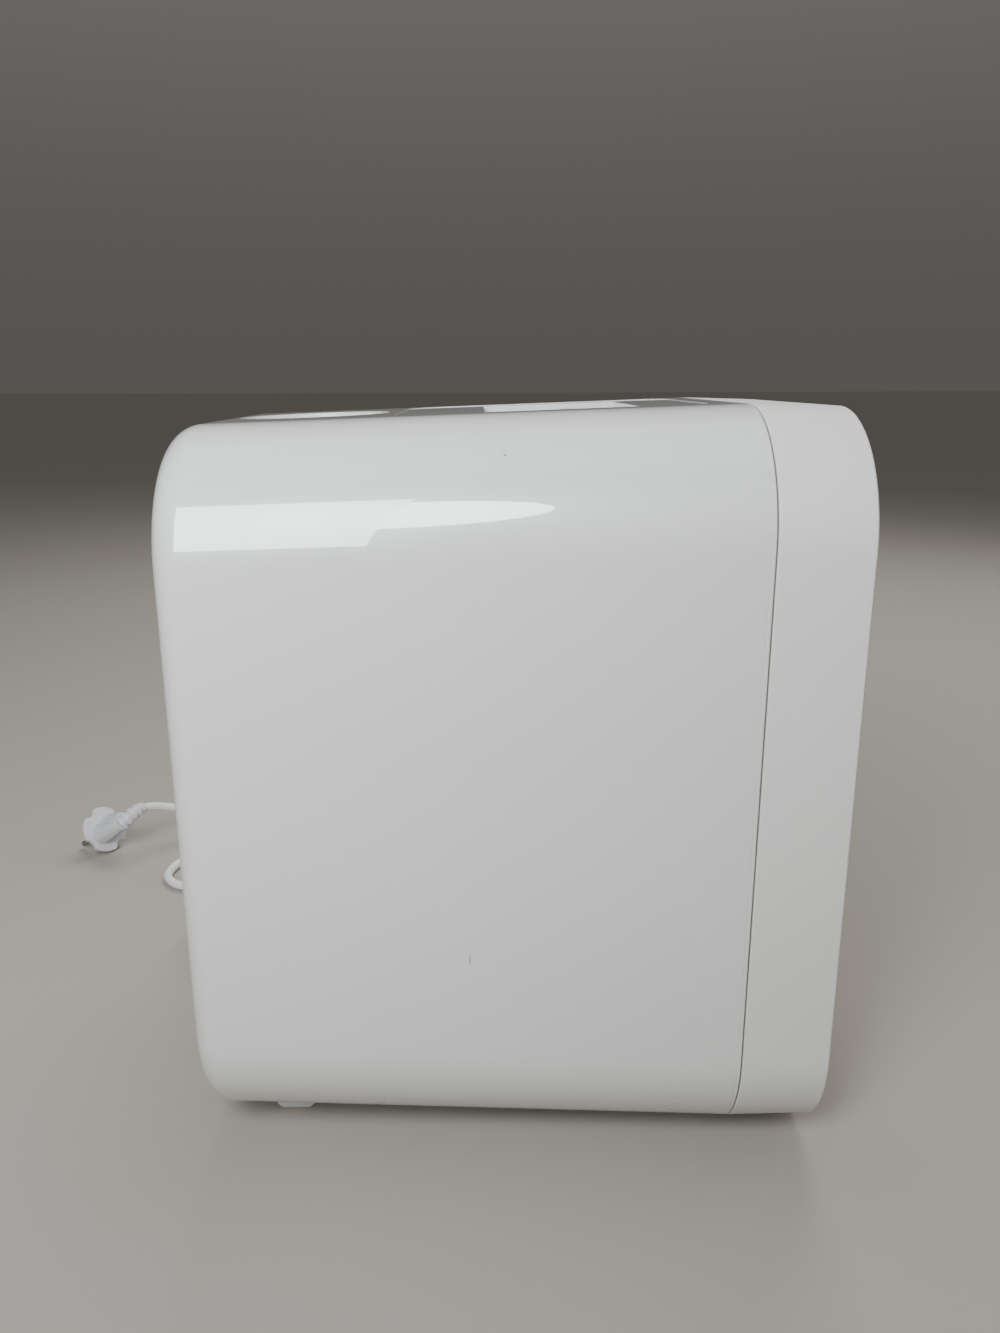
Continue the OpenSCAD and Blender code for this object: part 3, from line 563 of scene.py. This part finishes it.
TANK_W, TANK_D, TANK_Y, TANK_R = 136 * MM, 144 * MM, -22 * MM, 16 * MM
TANK_CLEARANCE = 1.5 * MM
DUCT_Y = 96 * MM
DISH_R = 38 * MM
FILTER_AT = Vector((-0.072, 0, 0.165))
FILTER_SIZE = (76 * MM, 96 * MM)
GLAND_AT = Vector((0.080, 0, 0.044))
FEET_AT = [(x, y) for x in (-0.074, 0.074) for y in (-0.082, 0.111)]
FOOT_SIDE = 20 * MM
CONTROL_X = -26 * MM
DISPLAY_Z, BUTTON_Z, KNOB_Z = 262 * MM, 214 * MM, 150 * MM
LENS_SIZE = (84 * MM, 36 * MM)
BUTTON_PITCH, BUTTON_R = 28 * MM, 8 * MM
KNOB_DISH_R, KNOB_DISH_DEPTH = 25 * MM, 12 * MM
WINDOW_AT = (46 * MM, 190 * MM)
WINDOW_SIZE = (10 * MM, 150 * MM)
BOSS_R, PILOT_R = 5 * MM, 1.6 * MM
SIDE_BOSSES = [(x, z) for x in (-129.3 * MM, 129.3 * MM) for z in (110 * MM, 250 * MM)]
FLOOR_SCREWS = [(x, y) for x in (-55 * MM, 55 * MM) for y in (-66 * MM, 84 * MM)]
COVER_BOSSES = [(x, z) for x in (-108 * MM, 108 * MM) for z in (62 * MM, 300 * MM)]
BOARD_POSTS = [(CONTROL_X + x, z) for x in (-39 * MM, 39 * MM) for z in (129 * MM, 286 * MM)]
BACK_CUT = (142 * MM, 152 * MM)
FRONT_CUT = (-151 * MM, -146 * MM)
DIAL_MARKS, DIAL_R = 9, 30 * MM
GLAND_RIBS, GLAND_TAPER, GLAND_END = 6, 0.125, 24.0
SPRING_WIRE, SPRING_TURNS, SPRING_STEPS = 0.5 * MM, 6, 28
RIM_BAND = 1.6 * MM
LIP = 0.8 * MM
LIP_TOP, LIP_BLEND = 16 * MM, 10 * MM
SKIP = 0.02 * MM


def top_at(y):
    return CASING_TOP - DRAFT * (y - SEAM_Y)


def plate_y(x, z, y0, y1, w, h, r, steps=12):
    """A solid plate with rounded corners that faces along Y."""
    ring = [(x + px, z + pz) for px, pz in rounded_loop(w / 2, -h / 2, h / 2, r, steps)]
    return skin("plate", [[Vector((px, y, pz)) for px, pz in ring] for y in (y0, y1)])


def rod_y(x, z, y0, y1, r, steps=64):
    return cylinder_between((x, y0, z), (x, y1, z), r, steps)


def lipped(loop, amount):
    """Pushes the lowest part of a loop down a little."""
    return [v - Vector((0, 0, amount * smooth_step((LIP_TOP - v.z) / LIP_BLEND))) for v in loop]


def casing_rows():
    """The casing's section loops: outside from the back to the rim, then inside to the back."""
    rim = [lipped(casing_loop(SEAM_Y + SKIP, 0.25 * MM), LIP),
           lipped(casing_loop(SEAM_Y + 0.25 * MM, 0.0), LIP),
           lipped(casing_loop(SEAM_Y + RIM_BAND - 0.3 * MM, 0.0), LIP * 0.8),
           lipped(casing_loop(SEAM_Y + RIM_BAND, 0.4 * MM), LIP * 0.6),
           lipped(casing_loop(SEAM_Y + RIM_BAND + 0.3 * MM, 0.0), LIP * 0.4),
           casing_loop(SEAM_Y + 4 * MM, 0.0)]
    outer, inner = rim, []
    for k in range(FILLET_STEPS + 1):
        a = math.radians(90 * k / FILLET_STEPS)
        outer.append(casing_loop(BACK_Y - BACK_R * (1 - math.sin(a)), BACK_R * (1 - math.cos(a))))
    edge = BACK_R - WALL
    inner.append(casing_loop(SEAM_Y + SKIP, WALL))
    for k in range(EDGE_STEPS + 1):
        a = math.radians(90 * k / EDGE_STEPS)
        inner.append(casing_loop(BACK_Y - WALL - edge * (1 - math.sin(a)),
                                 WALL + edge * (1 - math.cos(a))))
    return outer[::-1] + inner


def make_casing():
    obj = skin("casing_shell", casing_rows())
    combine(obj, "UNION", [rod_y(x, z, -103.5 * MM, -83.5 * MM, BOSS_R) for x, z in SIDE_BOSSES])
    lean = Matrix.Rotation(-math.atan(DRAFT), 3, "X") @ Vector((0, 0, 1))
    dish = Vector((0, DUCT_Y, top_at(DUCT_Y)))
    lid_hole = [plan_loop(0, TANK_Y, TANK_W + 2 * TANK_CLEARANCE, TANK_D + 2 * TANK_CLEARANCE,
                          TANK_R + TANK_CLEARANCE, z) for z in (0.340, 0.370)]
    cutters = [skin("lid_hole", lid_hole),
               cylinder_between(dish - 0.01 * lean, dish + 0.01 * lean, DISH_R + 0.2 * MM, 96),
               plate_y(FILTER_AT.x, FILTER_AT.z, *BACK_CUT, FILTER_SIZE[0] + 0.6 * MM,
                       FILTER_SIZE[1] + 0.6 * MM, 6 * MM),
               rod_y(GLAND_AT.x, GLAND_AT.z, *BACK_CUT, 7.1 * MM)]
    side = FOOT_SIDE + 0.2 * MM
    for x, y in FEET_AT:
        cutters.append(skin("foot_hole", [plan_loop(x, y, side, side, 0.3 * MM, z, 3)
                                          for z in (-10 * MM, 30 * MM)]))
    cutters += [cylinder_between((x, y, -10 * MM), (x, y, 14 * MM), 1.9 * MM, 32)
                for x, y in FLOOR_SCREWS]
    cutters += [rod_y(x, z, -107 * MM, -85.5 * MM, PILOT_R, 24) for x, z in SIDE_BOSSES]
    combine(obj, "DIFFERENCE", cutters)
    tidy_mesh(obj)
    soften(obj, 0.35 * MM, 2, 40)
    return stand_for(obj, "main_casing")


def make_cover():
    edge = 1.2 * MM
    back = SEAM_Y - SEAM_GAP
    outer = [lipped(cover_loop(back, 0.35 * MM), LIP * 0.8),
             lipped(cover_loop(back - 0.35 * MM, 0.0), LIP * 0.8),
             lipped(cover_loop(back - 1.2 * MM, 0.0), LIP * 0.5),
             cover_loop(back - 3 * MM, 0.0)]
    for k in range(EDGE_STEPS + 1):
        a = math.radians(90 * k / EDGE_STEPS)
        outer.append(cover_loop(FRONT_Y + edge * (1 - math.sin(a)), edge * (1 - math.cos(a))))
    inner = [cover_loop(back, WALL), cover_loop(FRONT_Y + WALL, WALL)]
    obj = skin("front_cover_shell", outer[::-1] + inner)
    extras = [rod_y(x, z, -148.5 * MM, -107.3 * MM, BOSS_R) for x, z in COVER_BOSSES]
    extras += [rod_y(x, z, -148.5 * MM, -134 * MM, 3.5 * MM, 32) for x, z in BOARD_POSTS]
    extras.append(rod_y(CONTROL_X, KNOB_Z, -149 * MM, -136 * MM, KNOB_DISH_R + 2 * MM))
    combine(obj, "UNION", extras)
    cutters = [rod_y(x, z, -136 * MM, -106 * MM, PILOT_R, 24) for x, z in COVER_BOSSES]
    cutters.append(rod_y(CONTROL_X, KNOB_Z, FRONT_CUT[0], FRONT_Y + KNOB_DISH_DEPTH, KNOB_DISH_R, 96))
    cutters.append(rod_y(CONTROL_X, KNOB_Z, FRONT_CUT[0], FRONT_Y + 16 * MM, 4.2 * MM, 48))
    cutters.append(plate_y(CONTROL_X, DISPLAY_Z, *FRONT_CUT, LENS_SIZE[0] + 0.4 * MM,
                           LENS_SIZE[1] + 0.4 * MM, 6 * MM))
    cutters += [rod_y(CONTROL_X + i * BUTTON_PITCH, BUTTON_Z, *FRONT_CUT, BUTTON_R + 0.35 * MM)
                for i in (-1, 0, 1)]
    cutters.append(plate_y(*WINDOW_AT, *FRONT_CUT, WINDOW_SIZE[0] + 0.4 * MM,
                           WINDOW_SIZE[1] + 0.4 * MM, 4.5 * MM))
    combine(obj, "DIFFERENCE", cutters)
    tidy_mesh(obj)
    soften(obj, 0.35 * MM, 2, 40)
    return stand_for(obj, "front_cover")


def make_seam_bead():
    """A thin soft bead in the groove between the casing and the front cover."""
    back, front = SEAM_Y - 0.05 * MM, SEAM_Y - SEAM_GAP + 0.05 * MM
    middle = (back + front) / 2
    rows = [cover_loop(front, 4 * MM), cover_loop(front, 1.0 * MM),
            cover_loop(middle - 0.15 * MM, 0.75 * MM), cover_loop(middle + 0.15 * MM, 0.75 * MM),
            cover_loop(back, 1.0 * MM), cover_loop(back, 4 * MM)]
    obj = skin("seam_bead", rows, ring=True)
    soften(obj, 0.05 * MM, 1, 50)
    return stand_for(obj, "seam_gasket")


def make_dial_marks():
    """Small raised dots around the mist dial, larger towards the high end."""
    bm = bmesh.new()
    for k in range(DIAL_MARKS):
        a = math.radians(225 - 270 * k / (DIAL_MARKS - 1))
        size = (0.7 + 0.09 * k) * MM
        at = Matrix.Translation((CONTROL_X - DIAL_R * math.cos(a), FRONT_Y - SKIP,
                                 KNOB_Z + DIAL_R * math.sin(a)))
        flat = Matrix.Diagonal((1, 0.35, 1, 1))
        bmesh.ops.create_uvsphere(bm, u_segments=20, v_segments=12, radius=size, matrix=at @ flat)
    mesh = bpy.data.meshes.new("dial_marks")
    bm.to_mesh(mesh)
    bm.free()
    mesh.shade_smooth()
    obj = new_object("dial_marks", mesh)
    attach(obj, BODY_OF["front_cover"])
    finish_with(obj, "dark_plastic")


# ------------------------------------------------------------------ plug and strain relief


def on_plug():
    return (Matrix.Translation(PLUG_AT) @ Matrix.Rotation(PLUG_HEADING, 4, "Z")
            @ Matrix.Rotation(math.pi / 2 + PLUG_DIP, 4, "Y")
            @ Matrix.Rotation(PLUG_TURN, 4, "Z"))


def polar_body(name, rows, steps, place):
    """rows is a list of (z, radius(angle)); a closed solid with a cap at each end."""
    loops = []
    for z, radius in rows:
        ring = []
        for k in range(steps):
            a = 2 * math.pi * k / steps
            r = radius(a)
            ring.append(place @ Vector((r * math.cos(a), r * math.sin(a), z)))
        loops.append(ring)
    return skin(name, loops)


def flange_radius(inset):
    """A flange with four broad lobes, between the earth clips' and the finger notches."""
    def radius(a):
        notch = smooth_step((abs(math.cos(2 * a)) - 0.84) / 0.16)
        depth = 3.4 if abs(math.cos(a)) > 0.7 else 2.0
        return (18.5 - depth * notch) * MM - inset
    return radius


def grip_radius(base, flat, ribs):
    """A grip that is wider across than deep, with ridges on its two broad sides."""
    def radius(a):
        oval = base * (1 - flat * math.cos(a) ** 2)
        ridge = smooth_step(0.5 + 1.4 * math.cos(12 * a)) * math.cos(a) ** 2
        return oval * (1 + ribs * ridge)
    return radius


def make_plug():
    rows = []
    for z, base, flat, ribs in ((-31.0, 6.2, 0.0, 0), (-30.7, 6.9, 0.0, 0), (-29.8, 7.4, 0.04, 0),
                                (-27.6, 7.7, 0.1, 0.0), (-27.2, 8.3, 0.14, 0.0),
                                (-25.0, 8.9, 0.24, 0.14), (-20.0, 10.0, 0.36, 0.24),
                                (-15.0, 11.4, 0.44, 0.28), (-10.0, 12.8, 0.48, 0.28),
                                (-7.0, 13.6, 0.46, 0.20), (-5.6, 13.9, 0.42, 0.0),
                                (-5.0, 14.0, 0.38, 0.0), (-4.6, 14.2, 0.34, 0.0)):
        rows.append((z * MM, grip_radius(base * MM, flat, ribs)))
    for z, inset in ((-4.4, 1.3), (-4.15, 0.7), (-3.9, 0.3), (-3.4, 0.1), (-2.8, 0.0), (-1.0, 0.0),
                     (-0.5, 0.15), (-0.15, 0.5), (0.0, 1.0)):
        rows.append((z * MM, flange_radius(inset * MM)))
    obj = polar_body("plug_shell", rows, 176, on_plug())
    modifier(obj, "WEIGHTED_NORMAL", keep_sharp=True)
    stand_for(obj, "plug_body")
    pins = []
    profile = [(-2.0, 2.4), (9.0, 2.4), (9.2, 2.3), (17.6, 2.3), (18.9, 2.05), (19.6, 1.5),
               (19.98, 0.7)]
    rows = [(z * MM, lambda a, r=r: r * MM) for z, r in profile]
    for side in (-1, 1):
        place = on_plug() @ Matrix.Translation((0, side * PIN_SPACING / 2, 0))
        pin = polar_body("plug_pin_%d" % (side + 2), rows, 40, place)
        soften(pin, 0.1 * MM, 2, 40)
        pins.append(stand_for(pin, "plug_pins"))
    clip_place = on_plug()
    for side in (-1, 1):
        inner, outer = 13.2 * MM, 14.6 * MM
        box_rows = [[clip_place @ Vector((side * x, y, z)) for x, y in
                     ((inner, -2.6 * MM), (outer, -2.6 * MM), (outer, 2.6 * MM),
                      (inner, 2.6 * MM))] for z in (-3.6 * MM, 0.25 * MM)]
        clip = skin("earth_clip_%d" % (side + 2), box_rows)
        soften(clip, 0.3 * MM, 2, 40)
        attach(clip, BODY_OF["plug_pins"])
        finish_with(clip, "pin_nickel")
        pins.append(clip)
    return [obj] + pins


def make_boot():
    line = catmull(BOOT, 40)
    end = line[-1] + (line[-1] - line[-2]).normalized() * 3 * MM
    line = line + [line[-1].lerp(end, k / 8) for k in range(1, 9)]
    run = 0.0
    radii = [4.05 * MM]
    for a, b in zip(line, line[1:]):
        run += (b - a).length
        share = min(1.0, run / (20 * MM))
        rib = smooth_step(0.7 + 1.1 * math.sin(2 * math.pi * run / (5.0 * MM)))
        radii.append((3.9 + 1.3 * share + (0.6 + 0.9 * share) * rib) * MM)
    obj = swept("plug_boot_ribbed", line, radii)
    soften(obj, 0.2 * MM, 2, 50)
    return stand_for(obj, "plug_boot")


def make_gland():
    """The moulded sleeve that guards the cord where it leaves the back."""
    profile = [(-8.0, 8.7), (-7.7, 9.0), (-3.5, 9.0), (-3.2, 8.7), (-3.19, 7.0), (0.09, 7.0),
               (0.1, 9.2), (0.4, 9.5), (2.1, 9.5), (2.5, 9.1), (3.2, 7.4)]
    for k in range(GLAND_RIBS):
        y = 4.2 + 3.4 * k
        r = 7.0 - GLAND_TAPER * (y - 3.5)
        profile += [(y, r), (y + 1.7, r - 0.2), (y + 2.0, r - 0.75), (y + 3.1, r - 0.8),
                    (y + 3.35, r - 0.45)]
    profile = [p for p in profile if p[0] < GLAND_END - 0.6]
    profile += [(GLAND_END - 0.4, 4.45), (GLAND_END, 3.9)]
    line = [Vector((GLAND_AT.x, BACK_Y + y * MM, GLAND_AT.z)) for y, r in profile]
    obj = swept("cord_gland", line, [r * MM for y, r in profile], 48)
    soften(obj, 0.12 * MM, 2, 45)
    return stand_for(obj, "strain_relief")


def make_spring():
    """The valve's spring, pressed together between the cap's cage and the plunger."""
    low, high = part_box("valve_spring")
    reach = (high.x - low.x) / 2 - SPRING_WIRE
    cx, cy = (low.x + high.x) / 2, (low.y + high.y) / 2
    count = SPRING_TURNS * SPRING_STEPS
    line = []
    for i in range(count + 1):
        a = 2 * math.pi * i / SPRING_STEPS
        share = (smooth_step(i / count) + i / count) / 2
        line.append(Vector((cx + reach * math.cos(a), cy + reach * math.sin(a),
                            low.z + SPRING_WIRE + (high.z - low.z - 2 * SPRING_WIRE) * share)))
    obj = swept("valve_spring_coil", line, [SPRING_WIRE] * len(line), 10)
    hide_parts("valve_spring")
    finish_with(obj, SLOT_OF["valve_spring"])
    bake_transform(obj)


make_casing()
make_cover()
make_seam_bead()
make_dial_marks()
plug_pieces = make_plug()
plug_pieces.append(make_boot())
gland = make_gland()

# ------------------------------------------------------------------ softened CAD pieces

# node, bevel width in mm, bevel segments
SOFT = [("nozzle_dish", 0.5, 3), ("mist_nozzle", 0.7, 3), ("tank_lid", 0.6, 3),
        ("tank_handle", 1.0, 3),
        ("mist_knob", 0.5, 2), ("power_button", 0.6, 3), ("timer_button", 0.6, 3),
        ("mode_button", 0.6, 3), ("filter_cover", 0.5, 3), ("front_feet", 0.7, 2),
        ("rear_feet", 0.7, 2), ("display_lens", 0.5, 3), ("level_window", 0.4, 2),
        ("water_tank", 0.8, 3), ("tank_cap", 0.5, 2), ("valve_plunger", 0.3, 2),
        ("casing_screws", 0.3, 2), ("coil_tie", 0.4, 2), ("float_ring", 0.4, 2),
        ("blower_housing", 0.5, 2), ("heat_sink", 0.2, 1)]
for soft_node, soft_width, soft_segments in SOFT:
    refined(soft_node, soft_width * MM, soft_segments)

make_spring()

# ------------------------------------------------------------------ all CAD nodes

for node_name, node_obj in NODES.items():
    node_obj.data.materials.clear()
    node_obj.data.materials.append(MAT[SLOT_OF[node_name]])

# ------------------------------------------------------------------ floor and light

DAYLIGHT = (0.92, 0.965, 1.0)
WINDOW_RADIANCE = 14.5
FLOOR_HALF = 30
SKY_LOW = (0.10, 0.094, 0.088, 1)
SKY_HIGH = (0.22, 0.218, 0.215, 1)


def make_stage():
    s = Shader("floor_m", (0.37, 0.34, 0.30), 0.8)
    s.tint(s.ramp(s.noise(1.2, 3), 0.3, 0.7, 0.0, 0.4), (0.35, 0.32, 0.28))
    s.bump(s.noise(300, 3), 0.0001)
    verts = [(x * FLOOR_HALF, y * FLOOR_HALF, 0) for x, y in ((-1, -1), (1, -1), (1, 1), (-1, 1))]
    ground = mesh_object("floor", verts, [(0, 1, 2, 3)], smooth=False)
    ground.data.materials.append(s.mat)


def area_light(name, at, target, size, radiance, color=(1, 1, 1), shape="RECTANGLE"):
    """A soft box of the given size whose face has the given radiance."""
    data = bpy.data.lights.new(name, "AREA")
    data.shape = shape
    data.size, data.size_y = size
    data.energy = radiance * math.pi * size[0] * size[1]
    data.color = color
    obj = new_object(name, data)
    obj.visible_camera = False
    obj.location = at
    obj.rotation_euler = (Vector(target) - Vector(at)).to_track_quat("-Z", "Y").to_euler()
    return obj


def make_light():
    world = bpy.data.worlds.new("studio")
    world.use_nodes = True
    nodes, links = world.node_tree.nodes, world.node_tree.links
    split = nodes.new("ShaderNodeSeparateXYZ")
    links.new(nodes.new("ShaderNodeTexCoord").outputs["Generated"], split.inputs["Vector"])
    height = nodes.new("ShaderNodeMapRange")
    height.interpolation_type = "SMOOTHSTEP"
    height.inputs["From Max"].default_value = 0.7
    links.new(split.outputs["Z"], height.inputs["Value"])
    blend = nodes.new("ShaderNodeMix")
    blend.data_type = "RGBA"
    blend.inputs["A"].default_value = SKY_LOW
    blend.inputs["B"].default_value = SKY_HIGH
    links.new(height.outputs["Result"], blend.inputs["Factor"])
    links.new(blend.outputs["Result"], nodes["Background"].inputs["Color"])
    bpy.context.scene.world = world
    area_light("window_tall", (-0.72, 0.335, 0.70), (0.0, 0.335, 0.70), (0.33, 0.60),
               WINDOW_RADIANCE, DAYLIGHT)
    area_light("window_small", (-0.72, 0.16, 0.75), (0.0, 0.16, 0.75), (0.34, 0.36),
               WINDOW_RADIANCE, DAYLIGHT, "ELLIPSE")
    area_light("overhead", (0.1, 0.1, 2.0), (0.1, 0.1, 0), (1.6, 1.6), 0.5, DAYLIGHT)
    far_fill = area_light("far_fill", (1.2, -0.3, 1.7), (0, 0, 0.2), (1.3, 1.0), 6.0)
    far_fill.visible_glossy = False
    front_fill = area_light("front_fill", (0.9, -1.6, 0.9), (0, -0.1, 0.2), (1.2, 0.9), 1.6)
    front_fill.visible_glossy = False


make_stage()
make_light()
